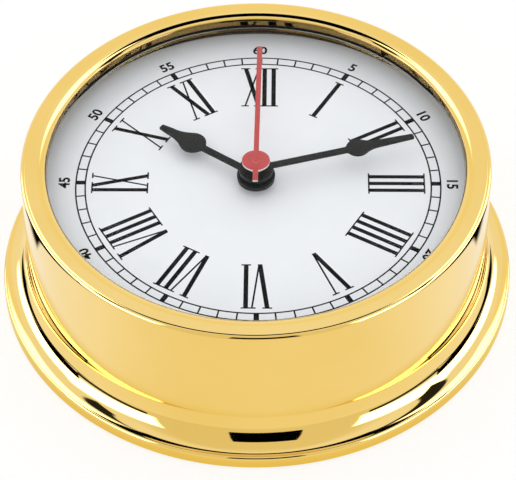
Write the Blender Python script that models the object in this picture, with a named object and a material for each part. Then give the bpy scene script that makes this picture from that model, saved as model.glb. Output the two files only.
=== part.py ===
"""Brass ship's clock, lying on its back.

+Z is the way the dial faces, +Y is twelve o'clock, and z = 0 is the bulkhead that the clock is screwed to.
"""

import math

import bmesh
import bpy
from mathutils import Matrix

# Every size below is in millimetres; MM turns it into metres when a mesh is made.
MM = 0.001

# Points on a round outline: the case, the rings in it, tubes, and shafts or small holes
CASE_SEGMENTS = 64
RING_SEGMENTS = 48
TUBE_POINTS = 24
SHAFT_POINTS = 12
COVE_STEPS = 6
ROUND_STEPS = 4
LIP_STEPS = 5

# Case: one turned brass shell
RIM_RADIUS = 75.0
RIM_INNER_RADIUS = 73.2
RIM_BOTTOM = 0.3
RIM_TOP = 3.4
RIM_ROUND = 1.0
COVE_WIDE, COVE_TALL = 8.143, 9.1
COVE_END = math.radians(80)
COVE_INNER_END = math.radians(72)
DRUM_RADIUS = 67.3
WALL = 1.5
BEZEL_TOP = 46.7
BEZEL_ROUND = 1.4
BEZEL_OPENING = 59.9
LIP_FOOT = 59.7
LIP_THICKNESS = 2.7
LIP_WIDE, LIP_TALL = 3.3, 1.5

# Stack that goes into the case from behind: glass, gasket, spacer, dial, snap ring
GAP = 0.3
STACK_RADIUS = 65.3
GLASS_THICKNESS = 1.2
GLASS_CROWN = 4.9
GLASS_DOME_RADIUS = 59.0
GLASS_DOME_POWER = 8
GLASS_DOME_SHARES = (0.0, 0.55, 0.72, 0.82, 0.9, 0.96, 1.0)
GASKET_HEIGHT = 0.7
GASKET_INNER = 62.5
SPACER_INNER = 63.9
DIAL_TOP = 36.6
DIAL_THICKNESS = 0.8
DIAL_HOLE = 3.0
SNAP_HEIGHT = 1.1
SNAP_INNER = 63.0
SNAP_OUTER = 66.3
SNAP_OPENING = math.radians(8)
GROOVE_RADIUS = 66.6

# Mounting plate, its seal and the three spring clips
PLATE_RADIUS = 70.0
PLATE_THICKNESS = 2.4
BULKHEAD_HOLE = 2.3
BULKHEAD_CIRCLE = 48.0
SEAL_INNER = 70.4
SEAL_OUTER = 72.2
SEAL_BOTTOM = 0.2
SEAL_TOP = 2.0
CLIP_COUNT = 3
CLIP_FIRST_ANGLE = math.radians(30)
CLIP_WIDTH = 12.0
CLIP_SHEET = 0.6
CLIP_FOOT_START = 52.0
CLIP_LEG_RADIUS = 63.2
CLIP_BULGE_RADIUS = 65.2
CLIP_HEIGHT = 15.0
CLIP_BULGE_SHARE = 0.6
CLIP_SCREW_CIRCLE = 57.0
CLIP_SCREW_SHANK = 1.2
CLIP_SCREW_HOLE = 1.5
CLIP_SCREW_HEAD = 2.4
CLIP_SCREW_HEAD_HEIGHT = 1.4
CLIP_SCREW_END = 0.6
SCREW_SLOT_HALF_LENGTH, SCREW_SLOT_HALF_WIDTH = 1.5, 0.3

# Movement housing, a square box round the hands' axis
HOUSING_HALF = 28.0
HOUSING_WALL = 1.2
HOUSING_BACK = 18.5
HOUSING_FRONT = 34.7
HOUSING_PLATE = 1.4
GEAR_PLATE_BOTTOM = 26.9
GEAR_PLATE_TOP = 27.9
PARTITION_LOW = -11.9
PARTITION_HIGH = -11.1
BUSHING_RADIUS = 3.8
BUSHING_BORE = 2.9
BUSHING_TOP = 35.5
PIVOT = 0.5
PIVOT_HOLE = 0.9
PIVOT_BACK = 18.8
PIVOT_FRONT = 27.7
WINDOW_END_INSET, WINDOW_SIDE_INSET = 0.6, 0.1

# Gear train: numbers of teeth
ROTOR_PINION = 12
INTERMEDIATE_WHEEL = 60
INTERMEDIATE_PINION = 10
SECOND_WHEEL = 60
SECOND_PINION = 8
THIRD_WHEEL = 60
THIRD_PINION = 8
CENTER_WHEEL = 64
CANNON_PINION = 10
MINUTE_WORK_WHEEL = 30
MINUTE_WORK_PINION = 8
HOUR_WHEEL = 32
SETTING_GEAR = 15

# Gear train: tooth modules, and the way each axis lies from the one before it
ROTOR_MODULE = 0.30
SECOND_MODULE = 0.32
CENTER_MODULE = 0.32
MOTION_MODULE = 0.45
WHEEL_THICKNESS = 0.7
THIRD_DIRECTION = math.radians(150)
INTERMEDIATE_DIRECTION = math.radians(30)
ROTOR_DIRECTION = math.radians(75)
MINUTE_WORK_DIRECTION = math.radians(90)
SETTING_DIRECTION = math.radians(120)
ADDENDUM = 0.7
DEDENDUM = 1.15
TIP_SHARE = 0.18
ROOT_SHARE = 0.46

# Gear train: height of each wheel's underside, and the ends of its pinion
ROTOR_PINION_BOTTOM, ROTOR_PINION_TOP = 20.3, 21.5
INTERMEDIATE_LEVEL, INTERMEDIATE_PINION_TOP = 20.5, 22.9
SECOND_LEVEL, SECOND_PINION_TOP = 21.7, 24.5
THIRD_LEVEL, THIRD_PINION_TOP = 23.2, 26.2
CENTER_LEVEL, CANNON_PINION_BOTTOM, CANNON_PINION_TOP = 24.9, 28.3, 29.6
MINUTE_WORK_LEVEL, MINUTE_WORK_PINION_TOP = 28.5, 31.6
MINUTE_WORK_BACK, MINUTE_WORK_FRONT = 27.0, 34.2
HOUR_LEVEL = 30.5
SETTING_GEAR_BOTTOM, SETTING_GEAR_TOP = 28.3, 29.4

# Arbors and tubes on the hands' axis
SECOND_ARBOR_TOP = 45.3
CANNON_RADIUS = 1.6
CANNON_BORE = 0.8
CANNON_TOP = 43.2
HOUR_TUBE_RADIUS = 2.5
HOUR_TUBE_BORE = 1.95
HOUR_TUBE_TOP = 40.5

# Hands: angle clockwise from twelve, length, and the pear swelling's place and half width.
# PEAR_TAIL and PEAR_NECK are where the swelling runs out, counted in its half width.
HOUR_ANGLE = math.radians(306)
MINUTE_ANGLE = math.radians(74.7)
SECOND_ANGLE = math.radians(1.8)
HAND_SHEET = 0.5
HOUR_LENGTH = 34.2
HOUR_PEAR_AT = 22.6
HOUR_PEAR_HALF = 3.9
HOUR_EYE = 5.5
HOUR_BUSH_RADIUS = 5.4
HOUR_BLADE_BOTTOM = 40.0
MINUTE_LENGTH = 47.4
MINUTE_PEAR_AT = 30.45
MINUTE_PEAR_HALF = 3.3
MINUTE_EYE = 4.9
MINUTE_BUSH_RADIUS = 4.8
MINUTE_BLADE_BOTTOM = 42.6
HAND_STEM_HALF = 1.1
HAND_NECK_HALF = 1.4
HAND_TIP_HALF = 0.9
HAND_POINT_HALF = 0.45
PEAR_TAIL, PEAR_NECK = 1.15, 1.9
PEAR_ARC_START, PEAR_ARC_END = math.radians(-52), math.radians(28)
HAND_BUSH_HEIGHT = 0.8
SECOND_LENGTH = 47.5
SECOND_HALF_WIDTH = 0.75
SECOND_TAIL = 8.0
SECOND_DISC = 4.0
SECOND_BLADE_BOTTOM = 45.7
SECOND_SHEET = 0.6
SECOND_PIP = 1.0
SECOND_PIPE_RADIUS = 1.4
SECOND_PIPE_BOTTOM = 43.6

# Stepping motor and electronics
MAGNET_RADIUS = 3.0
MAGNET_BORE = 0.9
MAGNET_BOTTOM, MAGNET_TOP = 22.0, 25.0
ROTOR_SHAFT = 0.6
STATOR_BOTTOM = 22.9
STATOR_THICKNESS = 1.2
STATOR_HOLE = 3.6
STATOR_LEFT, STATOR_RIGHT = 3.5, 22.5
STATOR_LOW, STATOR_HIGH, STATOR_LEG_END = 11.2, 20.4, 26.2
STATOR_LEG = 3.5
STATOR_POST = 1.5
CORE_LOW, CORE_HIGH, CORE_THICKNESS = 22.4, 25.0, 1.0
COIL_LEFT, COIL_RIGHT = 7.6, 18.4
COIL_LOW, COIL_HIGH = 20.7, 26.6
COIL_BOTTOM, COIL_TOP = 22.7, 26.6
BOARD_LEFT, BOARD_RIGHT = -26.3, -8.0
BOARD_LOW, BOARD_HIGH = 17.0, 26.3
BOARD_BOTTOM, BOARD_THICKNESS = 20.2, 1.2
CHIP_AT, CHIP_RADIUS, CHIP_HEIGHT = (-21.0, 21.8), 2.4, 1.1
CRYSTAL_AT, CRYSTAL_RADIUS, CRYSTAL_LENGTH = (-16.0, 21.8), 1.0, 6.2

# Battery, an AA cell lying along X, and its two contacts
BATTERY_AT = (-19.35, 25.7)
BATTERY_RADIUS = 7.1
BATTERY_LEFT, BATTERY_RIGHT = -24.6, 24.6
BATTERY_NUB_RADIUS, BATTERY_NUB = 2.7, 1.2
CONTACT_AT = 26.1
CONTACT_SHEET = 0.4
CONTACT_HALF_WIDTH = 4.5
CONTACT_LOW, CONTACT_HIGH = 20.5, 31.5
CONTACT_BUMP_RADIUS, CONTACT_BUMP = 3.0, 0.9

# Dial washer and setting knob
DIAL_WASHER_BORE = 4.1
DIAL_WASHER_RADIUS, DIAL_WASHER_BOTTOM, DIAL_WASHER_TOP = 11.0, 35.0, 35.5
SETTING_SHAFT, SETTING_HOLE, SETTING_SHAFT_END = 1.2, 1.6, 16.0
KNOB_RADIUS, KNOB_BOTTOM, KNOB_TOP, KNOB_FLOOR = 5.0, 15.0, 17.9, 15.7
KNOB_RIBS, KNOB_RIB_DEPTH, KNOB_RIB_SHARE = 18, 0.4, 0.2


def clear_scene():
    for obj in list(bpy.data.objects):
        bpy.data.objects.remove(obj, do_unlink=True)


def finish(name, colour, roughness, metallic=0.0):
    """One Principled material for one sub-part."""
    material = bpy.data.materials.new(name)
    material.use_nodes = True
    shader = material.node_tree.nodes["Principled BSDF"]
    shader.inputs["Base Color"].default_value = (*colour, 1.0)
    shader.inputs["Roughness"].default_value = roughness
    shader.inputs["Metallic"].default_value = metallic
    return material


def brass(name):
    return finish(name, (0.88, 0.62, 0.20), 0.06, 1.0)


def steel(name):
    return finish(name, (0.55, 0.55, 0.56), 0.30, 1.0)


def black_lacquer(name):
    return finish(name, (0.016, 0.017, 0.019), 0.35)


def black_rubber(name):
    return finish(name, (0.012, 0.012, 0.012), 0.80)


def white_plastic(name):
    return finish(name, (0.80, 0.80, 0.78), 0.45)


def add_object(name, bm, material, location=(0.0, 0.0, 0.0)):
    """Closes, scales and shades a mesh made in millimetres, and places it on its axis."""
    bmesh.ops.remove_doubles(bm, verts=bm.verts, dist=1e-5)
    bmesh.ops.recalc_face_normals(bm, faces=bm.faces)
    bmesh.ops.scale(bm, vec=(MM, MM, MM), verts=bm.verts)
    mesh = bpy.data.meshes.new(name)
    bm.to_mesh(mesh)
    bm.free()
    mesh.shade_smooth()
    mesh.set_sharp_from_angle(angle=math.radians(30))
    mesh.materials.append(material)
    obj = bpy.data.objects.new(name, mesh)
    obj.location = [MM * value for value in location]
    bpy.context.scene.collection.objects.link(obj)
    return obj


def circle(radius, at=(0.0, 0.0), points=TUBE_POINTS):
    turn = 2 * math.pi / points
    return tuple(
        (at[0] + radius * math.cos(k * turn), at[1] + radius * math.sin(k * turn)) for k in range(points)
    )


def rectangle(left, right, low, high):
    return ((left, low), (right, low), (right, high), (left, high))


def oval_arc(centre, wide, tall, start, end, steps):
    """Points on an arc of an ellipse, both ends included."""
    return [
        (
            centre[0] + wide * math.cos(start + (end - start) * k / steps),
            centre[1] + tall * math.sin(start + (end - start) * k / steps),
        )
        for k in range(steps + 1)
    ]


def arc(centre, radius, start, end, steps):
    return oval_arc(centre, radius, radius, start, end, steps)


def add_ring(bm, loop, z):
    verts = [bm.verts.new((x, y, z)) for x, y in loop]
    edges = [bm.edges.new((verts[k - 1], verts[k])) for k in range(len(verts))]
    return verts, edges


def stacked(name, layers, material, location=(0.0, 0.0, 0.0), along_x=False):
    """A solid built up in layers (bottom, top, loops). Loops nest, so a loop inside another one is a hole."""
    bm = bmesh.new()
    lids = {}
    for bottom, top, loops in layers:
        for loop in loops:
            low_verts, low_edges = add_ring(bm, loop, bottom)
            high_verts, high_edges = add_ring(bm, loop, top)
            for k in range(len(loop)):
                bm.faces.new((low_verts[k - 1], low_verts[k], high_verts[k], high_verts[k - 1]))
            lids.setdefault(bottom, []).append((loop, low_edges))
            lids.setdefault(top, []).append((loop, high_edges))
    for rings in lids.values():
        # A loop that carries on through a level needs no face there.
        shared = [loop for loop, _ in rings]
        open_edges = [edge for loop, edges in rings if shared.count(loop) == 1 for edge in edges]
        bmesh.ops.triangle_fill(bm, edges=open_edges, use_beauty=True)
    if along_x:
        lay_along_x = Matrix(((0, 0, 1), (1, 0, 0), (0, 1, 0)))
        bmesh.ops.rotate(bm, matrix=lay_along_x, verts=bm.verts)
    return add_object(name, bm, material, location)


def turned(name, profile, material, segments, closed=True, along_x=False, location=(0.0, 0.0, 0.0)):
    """A profile of (radius, height) points spun round Z or X. An open one starts and ends on the axis."""
    bm = bmesh.new()
    verts = [bm.verts.new((radius, 0.0, height)) for radius, height in profile]
    pairs = zip(verts, verts[1:] + verts[:1]) if closed else zip(verts, verts[1:])
    edges = [bm.edges.new(pair) for pair in pairs]
    bmesh.ops.spin(
        bm,
        geom=verts + edges,
        cent=(0, 0, 0),
        axis=(0, 0, 1),
        angle=2 * math.pi,
        steps=segments,
        use_merge=True,
    )
    if along_x:
        bmesh.ops.rotate(bm, matrix=Matrix.Rotation(math.radians(90), 3, "Y"), verts=bm.verts)
    return add_object(name, bm, material, location)


def pitch_radius(teeth, module):
    return teeth * module / 2


def gear_loop(teeth, module, phase):
    """Trapezoid teeth, thin enough to run with backlash, with one tooth centred on the phase angle."""
    tip = pitch_radius(teeth, module) + ADDENDUM * module
    root = pitch_radius(teeth, module) - DEDENDUM * module
    pitch = 2 * math.pi / teeth
    corners = ((root, -ROOT_SHARE), (tip, -TIP_SHARE), (tip, TIP_SHARE), (root, ROOT_SHARE))
    points = []
    for tooth in range(teeth):
        for radius, share in corners:
            angle = phase + pitch * (tooth + share / 2)
            points.append((radius * math.cos(angle), radius * math.sin(angle)))
    return tuple(points)


def meshed_phase(phase, teeth, other_teeth, direction):
    """Phase of a gear that lies in this direction, so that its gap takes the first gear's tooth."""
    return direction + math.pi - (phase - direction) * teeth / other_teeth + math.pi / other_teeth


def axis_from(start, direction, teeth, other_teeth, module):
    distance = pitch_radius(teeth + other_teeth, module)
    return (start[0] + distance * math.cos(direction), start[1] + distance * math.sin(direction))


CENTER = (0.0, 0.0)
THIRD_MODULE = CENTER_MODULE * (THIRD_PINION + CENTER_WHEEL) / (SECOND_PINION + THIRD_WHEEL)
THIRD_AXIS = axis_from(CENTER, THIRD_DIRECTION, CENTER_WHEEL, THIRD_PINION, CENTER_MODULE)
INTERMEDIATE_AXIS = axis_from(
    CENTER, INTERMEDIATE_DIRECTION, SECOND_WHEEL, INTERMEDIATE_PINION, SECOND_MODULE
)
ROTOR_AXIS = axis_from(INTERMEDIATE_AXIS, ROTOR_DIRECTION, INTERMEDIATE_WHEEL, ROTOR_PINION, ROTOR_MODULE)
MINUTE_WORK_AXIS = axis_from(CENTER, MINUTE_WORK_DIRECTION, CANNON_PINION, MINUTE_WORK_WHEEL, MOTION_MODULE)
SETTING_AXIS = axis_from(MINUTE_WORK_AXIS, SETTING_DIRECTION, MINUTE_WORK_WHEEL, SETTING_GEAR, MOTION_MODULE)


def case_shell():
    """Lip, drum, cove and rim in one wall, turned in one piece."""
    cove_last = math.atan(COVE_TALL / COVE_WIDE * math.tan(COVE_END))
    cove_top = RIM_TOP + RIM_ROUND * math.sin(COVE_END) + COVE_TALL * math.sin(cove_last)
    cove_centre = (DRUM_RADIUS + COVE_WIDE, cove_top)
    bore = DRUM_RADIUS - WALL
    lip_bottom = BEZEL_TOP - LIP_THICKNESS
    groove_top = DIAL_TOP - DIAL_THICKNESS
    groove_bottom = groove_top - SNAP_HEIGHT - 2 * GAP
    lip_centre = (BEZEL_OPENING + LIP_WIDE, BEZEL_TOP - LIP_TALL)
    profile = oval_arc(lip_centre, LIP_WIDE, LIP_TALL, math.pi, math.pi / 2, LIP_STEPS)
    bezel_centre = (DRUM_RADIUS - BEZEL_ROUND, BEZEL_TOP - BEZEL_ROUND)
    profile += arc(bezel_centre, BEZEL_ROUND, math.pi / 2, 0.0, ROUND_STEPS)
    profile += oval_arc(cove_centre, COVE_WIDE, COVE_TALL, math.pi, math.pi + cove_last, COVE_STEPS)
    profile += arc((RIM_RADIUS - RIM_ROUND, RIM_TOP), RIM_ROUND, COVE_END, 0.0, ROUND_STEPS)[1:]
    profile += [(RIM_RADIUS, RIM_BOTTOM), (RIM_INNER_RADIUS, RIM_BOTTOM)]
    inner_wide, inner_tall = COVE_WIDE + WALL, COVE_TALL + WALL
    profile += oval_arc(cove_centre, inner_wide, inner_tall, math.pi + COVE_INNER_END, math.pi, ROUND_STEPS)
    profile += [(bore, groove_bottom), (GROOVE_RADIUS, groove_bottom)]
    profile += [(GROOVE_RADIUS, groove_top), (bore, groove_top)]
    profile += [(bore, lip_bottom), (LIP_FOOT, lip_bottom)]
    turned("case_shell", profile, brass("case_brass"), CASE_SEGMENTS)


def glass():
    """Domed glass, nearly level across the hands, with a flat rim that sits under the lip."""
    rim_top = BEZEL_TOP - LIP_THICKNESS - GAP
    top = [
        (share * GLASS_DOME_RADIUS, rim_top + GLASS_CROWN * (1 - share**GLASS_DOME_POWER))
        for share in GLASS_DOME_SHARES
    ]
    top.append((STACK_RADIUS, rim_top))
    bottom = [(radius, height - GLASS_THICKNESS) for radius, height in reversed(top)]
    clear = finish("clock_glass", (0.95, 0.97, 0.97), 0.02)
    clear.node_tree.nodes["Principled BSDF"].inputs["Transmission Weight"].default_value = 1.0
    turned("glass", top + bottom, clear, RING_SEGMENTS, closed=False)


def ring(name, inner, outer, bottom, top, material):
    loops = [circle(outer, points=RING_SEGMENTS), circle(inner, points=RING_SEGMENTS)]
    stacked(name, [(bottom, top, loops)], material)


def dial_stack():
    gasket_top = BEZEL_TOP - LIP_THICKNESS - GLASS_THICKNESS - 2 * GAP
    gasket_bottom = gasket_top - GASKET_HEIGHT
    ring("glass_gasket", GASKET_INNER, STACK_RADIUS, gasket_bottom, gasket_top, black_rubber("gasket_rubber"))
    spacer = finish("spacer_black", (0.014, 0.014, 0.015), 0.40)
    ring("spacer_ring", SPACER_INNER, STACK_RADIUS, DIAL_TOP + GAP, gasket_bottom - GAP, spacer)
    dial_bottom = DIAL_TOP - DIAL_THICKNESS
    dial_loops = [circle(STACK_RADIUS, points=RING_SEGMENTS), circle(DIAL_HOLE)]
    stacked("dial", [(dial_bottom, DIAL_TOP, dial_loops)], finish("dial_white", (0.80, 0.83, 0.88), 0.45))
    start, end = SNAP_OPENING / 2, 2 * math.pi - SNAP_OPENING / 2
    snap_loop = arc(CENTER, SNAP_OUTER, start, end, RING_SEGMENTS)
    snap_loop += arc(CENTER, SNAP_INNER, end, start, RING_SEGMENTS)
    snap_top = dial_bottom - GAP
    stacked("snap_ring", [(snap_top - SNAP_HEIGHT, snap_top, [tuple(snap_loop)])], steel("snap_steel"))


def clip_angles():
    return [CLIP_FIRST_ANGLE + 2 * math.pi * k / CLIP_COUNT for k in range(CLIP_COUNT)]


def on_circle(radius, angle):
    return (radius * math.cos(angle), radius * math.sin(angle))


def mount_plate():
    loops = [circle(PLATE_RADIUS, points=RING_SEGMENTS)]
    for angle in clip_angles():
        loops.append(circle(CLIP_SCREW_HOLE, on_circle(CLIP_SCREW_CIRCLE, angle), SHAFT_POINTS))
        bulkhead_hole_at = on_circle(BULKHEAD_CIRCLE, angle + math.pi / CLIP_COUNT)
        loops.append(circle(BULKHEAD_HOLE, bulkhead_hole_at))
    stacked("mount_plate", [(0.0, PLATE_THICKNESS, loops)], brass("plate_brass"))
    ring("base_seal", SEAL_INNER, SEAL_OUTER, SEAL_BOTTOM, SEAL_TOP, black_rubber("seal_rubber"))


def spring_clip(number, angle):
    """A strip with a screwed foot and a leg that bulges out against the wall of the case."""
    foot_bottom = PLATE_THICKNESS + GAP
    foot_top = foot_bottom + CLIP_SHEET
    bulge_height = (CLIP_HEIGHT + foot_top) * CLIP_BULGE_SHARE
    outer = [(CLIP_FOOT_START, foot_bottom), (CLIP_LEG_RADIUS, foot_bottom)]
    outer += [(CLIP_BULGE_RADIUS, bulge_height), (CLIP_LEG_RADIUS, CLIP_HEIGHT)]
    inner = [(CLIP_LEG_RADIUS - CLIP_SHEET, CLIP_HEIGHT), (CLIP_BULGE_RADIUS - CLIP_SHEET, bulge_height)]
    inner += [(CLIP_LEG_RADIUS - CLIP_SHEET, foot_top), (CLIP_FOOT_START, foot_top)]
    half = CLIP_WIDTH / 2
    bm = bmesh.new()
    face = bm.faces.new([bm.verts.new((radius, -half, height)) for radius, height in outer + inner])
    swept = bmesh.ops.extrude_face_region(bm, geom=[face])["geom"]
    swept_verts = [item for item in swept if isinstance(item, bmesh.types.BMVert)]
    bmesh.ops.translate(bm, vec=(0.0, CLIP_WIDTH, 0.0), verts=swept_verts)
    clip = add_object(f"spring_clip_{number}", bm, steel(f"clip_steel_{number}"))
    hole_loop = circle(CLIP_SCREW_HOLE, (CLIP_SCREW_CIRCLE, 0.0), SHAFT_POINTS)
    hole_layers = [(0.0, foot_top + GAP, [hole_loop])]
    hole = stacked(f"clip_hole_{number}", hole_layers, steel(f"clip_hole_{number}"))
    hole.hide_render = True
    hole.display_type = "WIRE"
    hole.parent = clip
    cut = clip.modifiers.new("screw_hole", "BOOLEAN")
    cut.operation = "DIFFERENCE"
    cut.object = hole
    clip.rotation_euler.z = angle
    head_bottom = foot_top + GAP
    shank = circle(CLIP_SCREW_SHANK, points=SHAFT_POINTS)
    head = circle(CLIP_SCREW_HEAD, points=SHAFT_POINTS)
    slot = rectangle(
        -SCREW_SLOT_HALF_LENGTH, SCREW_SLOT_HALF_LENGTH, -SCREW_SLOT_HALF_WIDTH, SCREW_SLOT_HALF_WIDTH
    )
    slot_floor = head_bottom + CLIP_SCREW_HEAD_HEIGHT / 2
    stacked(
        f"clip_screw_{number}",
        [
            (CLIP_SCREW_END, head_bottom, [shank]),
            (head_bottom, slot_floor, [head]),
            (slot_floor, head_bottom + CLIP_SCREW_HEAD_HEIGHT, [head, slot]),
        ],
        steel(f"screw_steel_{number}"),
        location=(*on_circle(CLIP_SCREW_CIRCLE, angle), 0.0),
    )


def dial_washer():
    """Bonds the movement to the back of the dial; nothing of it shows under the hands."""
    loops = [circle(DIAL_WASHER_RADIUS), circle(DIAL_WASHER_BORE)]
    stacked("dial_washer", [(DIAL_WASHER_BOTTOM, DIAL_WASHER_TOP, loops)], black_rubber("washer_rubber"))


def housing_rooms():
    """Outer outline of the housing, and the gear room and battery room inside its walls."""
    inside = HOUSING_HALF - HOUSING_WALL
    outline = rectangle(-HOUSING_HALF, HOUSING_HALF, -HOUSING_HALF, HOUSING_HALF)
    gear_room = rectangle(-inside, inside, PARTITION_HIGH, inside)
    battery_room = rectangle(-inside, inside, -inside, PARTITION_LOW)
    return outline, gear_room, battery_room


def movement_housing():
    outline, gear_room, battery_room = housing_rooms()
    bore = circle(BUSHING_BORE)
    work_pivot = circle(PIVOT_HOLE, MINUTE_WORK_AXIS, SHAFT_POINTS)
    plate_bottom = HOUSING_FRONT - HOUSING_PLATE
    stacked(
        "movement_front",
        [
            (GEAR_PLATE_TOP + GAP, plate_bottom, [outline, gear_room, battery_room]),
            (plate_bottom, HOUSING_FRONT, [outline, bore, work_pivot]),
            (HOUSING_FRONT, BUSHING_TOP, [circle(BUSHING_RADIUS), bore]),
        ],
        finish("front_black", (0.02, 0.02, 0.022), 0.5),
    )
    pivot_axes = (THIRD_AXIS, INTERMEDIATE_AXIS, ROTOR_AXIS)
    pivots = [circle(PIVOT_HOLE, axis, SHAFT_POINTS) for axis in pivot_axes]
    setting_hole = circle(SETTING_HOLE, SETTING_AXIS, SHAFT_POINTS)
    center_hole = circle(CANNON_RADIUS + PIVOT)
    plate_loops = [outline, battery_room, center_hole, setting_hole, work_pivot, *pivots]
    plate_layers = [(GEAR_PLATE_BOTTOM, GEAR_PLATE_TOP, plate_loops)]
    stacked("gear_plate", plate_layers, white_plastic("gear_plate_white"))
    plate_top = HOUSING_BACK + HOUSING_PLATE
    inside = HOUSING_HALF - HOUSING_WALL
    window_end = inside - WINDOW_END_INSET
    window = rectangle(-window_end, window_end, WINDOW_SIDE_INSET - inside, PARTITION_LOW - WINDOW_SIDE_INSET)
    leg = STATOR_LEG / 2
    post_y = CORE_HIGH - STATOR_POST
    posts = [circle(STATOR_POST, (x, post_y), SHAFT_POINTS) for x in (STATOR_LEFT + leg, STATOR_RIGHT - leg)]
    rear_loops = [outline, window, setting_hole, circle(PIVOT_HOLE, CENTER, SHAFT_POINTS)]
    walls = [outline, gear_room, battery_room]
    stacked(
        "movement_rear",
        [
            (HOUSING_BACK, plate_top, rear_loops + pivots),
            (plate_top, STATOR_BOTTOM - GAP, walls + posts),
            (STATOR_BOTTOM - GAP, GEAR_PLATE_BOTTOM - GAP, walls),
        ],
        finish("rear_black", (0.02, 0.02, 0.022), 0.5),
    )


def motor_and_board():
    stator_top = STATOR_BOTTOM + STATOR_THICKNESS
    stator_loop = (
        (STATOR_LEFT, STATOR_LOW),
        (STATOR_RIGHT, STATOR_LOW),
        (STATOR_RIGHT, STATOR_LEG_END),
        (STATOR_RIGHT - STATOR_LEG, STATOR_LEG_END),
        (STATOR_RIGHT - STATOR_LEG, STATOR_HIGH),
        (STATOR_LEFT + STATOR_LEG, STATOR_HIGH),
        (STATOR_LEFT + STATOR_LEG, STATOR_LEG_END),
        (STATOR_LEFT, STATOR_LEG_END),
    )
    stator_loops = [stator_loop, circle(STATOR_HOLE, ROTOR_AXIS)]
    stacked("stator", [(STATOR_BOTTOM, stator_top, stator_loops)], steel("stator_iron"))
    core_bottom = stator_top + GAP
    core_top = core_bottom + CORE_THICKNESS
    core_loop = rectangle(STATOR_LEFT, STATOR_RIGHT, CORE_LOW, CORE_HIGH)
    stacked("coil_core", [(core_bottom, core_top, [core_loop])], steel("core_iron"))
    coil_loops = [
        rectangle(COIL_LOW, COIL_HIGH, COIL_BOTTOM, COIL_TOP),
        rectangle(CORE_LOW - GAP, CORE_HIGH + GAP, core_bottom - GAP, core_top + GAP),
    ]
    copper = finish("coil_copper", (0.60, 0.22, 0.08), 0.35, 0.8)
    stacked("coil", [(COIL_LEFT, COIL_RIGHT, coil_loops)], copper, along_x=True)
    board_top = BOARD_BOTTOM + BOARD_THICKNESS
    board_loop = rectangle(BOARD_LEFT, BOARD_RIGHT, BOARD_LOW, BOARD_HIGH)
    green = finish("board_green", (0.02, 0.16, 0.06), 0.5)
    stacked("circuit_board", [(BOARD_BOTTOM, board_top, [board_loop])], green)
    chip_bottom = board_top + GAP
    epoxy = finish("chip_epoxy", (0.01, 0.01, 0.01), 0.3)
    stacked("clock_chip", [(chip_bottom, chip_bottom + CHIP_HEIGHT, [circle(CHIP_RADIUS, CHIP_AT)])], epoxy)
    crystal_loop = circle(CRYSTAL_RADIUS, (CRYSTAL_AT[1], chip_bottom + CRYSTAL_RADIUS), SHAFT_POINTS)
    crystal_ends = (CRYSTAL_AT[0], CRYSTAL_AT[0] + CRYSTAL_LENGTH)
    stacked("quartz_crystal", [(*crystal_ends, [crystal_loop])], steel("crystal_can"), along_x=True)


def battery():
    """An AA cell: straight can, stepped positive end."""
    profile = [(0.0, BATTERY_LEFT), (BATTERY_RADIUS, BATTERY_LEFT), (BATTERY_RADIUS, BATTERY_RIGHT)]
    profile += [(BATTERY_NUB_RADIUS, BATTERY_RIGHT), (BATTERY_NUB_RADIUS, BATTERY_RIGHT + BATTERY_NUB)]
    profile += [(0.0, BATTERY_RIGHT + BATTERY_NUB)]
    can = finish("battery_can", (0.30, 0.31, 0.33), 0.35, 0.6)
    turned("battery", profile, can, TUBE_POINTS, closed=False, along_x=True, location=(0.0, *BATTERY_AT))
    y = BATTERY_AT[0]
    plate = rectangle(y - CONTACT_HALF_WIDTH, y + CONTACT_HALF_WIDTH, CONTACT_LOW, CONTACT_HIGH)
    bump = circle(CONTACT_BUMP_RADIUS, BATTERY_AT, SHAFT_POINTS)
    plus_layers = [(CONTACT_AT, CONTACT_AT + CONTACT_SHEET, [plate])]
    stacked("battery_contact_plus", plus_layers, steel("plus_contact"), along_x=True)
    minus_layers = [
        (-CONTACT_AT - CONTACT_SHEET, -CONTACT_AT, [plate]),
        (-CONTACT_AT, -CONTACT_AT + CONTACT_BUMP, [bump]),
    ]
    stacked("battery_contact_minus", minus_layers, steel("minus_contact"), along_x=True)


def wheel_and_pinion(name, levels, wheel_loop, pinion_loop, axis):
    """One moulding: back pivot, wheel, pinion, front pivot, with the levels where they start and end."""
    back, wheel_bottom, pinion_top, front = levels
    wheel_top = wheel_bottom + WHEEL_THICKNESS
    pivot = circle(PIVOT, points=SHAFT_POINTS)
    layers = [
        (back, wheel_bottom, [pivot]),
        (wheel_bottom, wheel_top, [wheel_loop]),
        (wheel_top, pinion_top, [pinion_loop]),
        (pinion_top, front, [pivot]),
    ]
    stacked(name, layers, white_plastic(f"{name}_white"), location=(*axis, 0.0))


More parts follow.
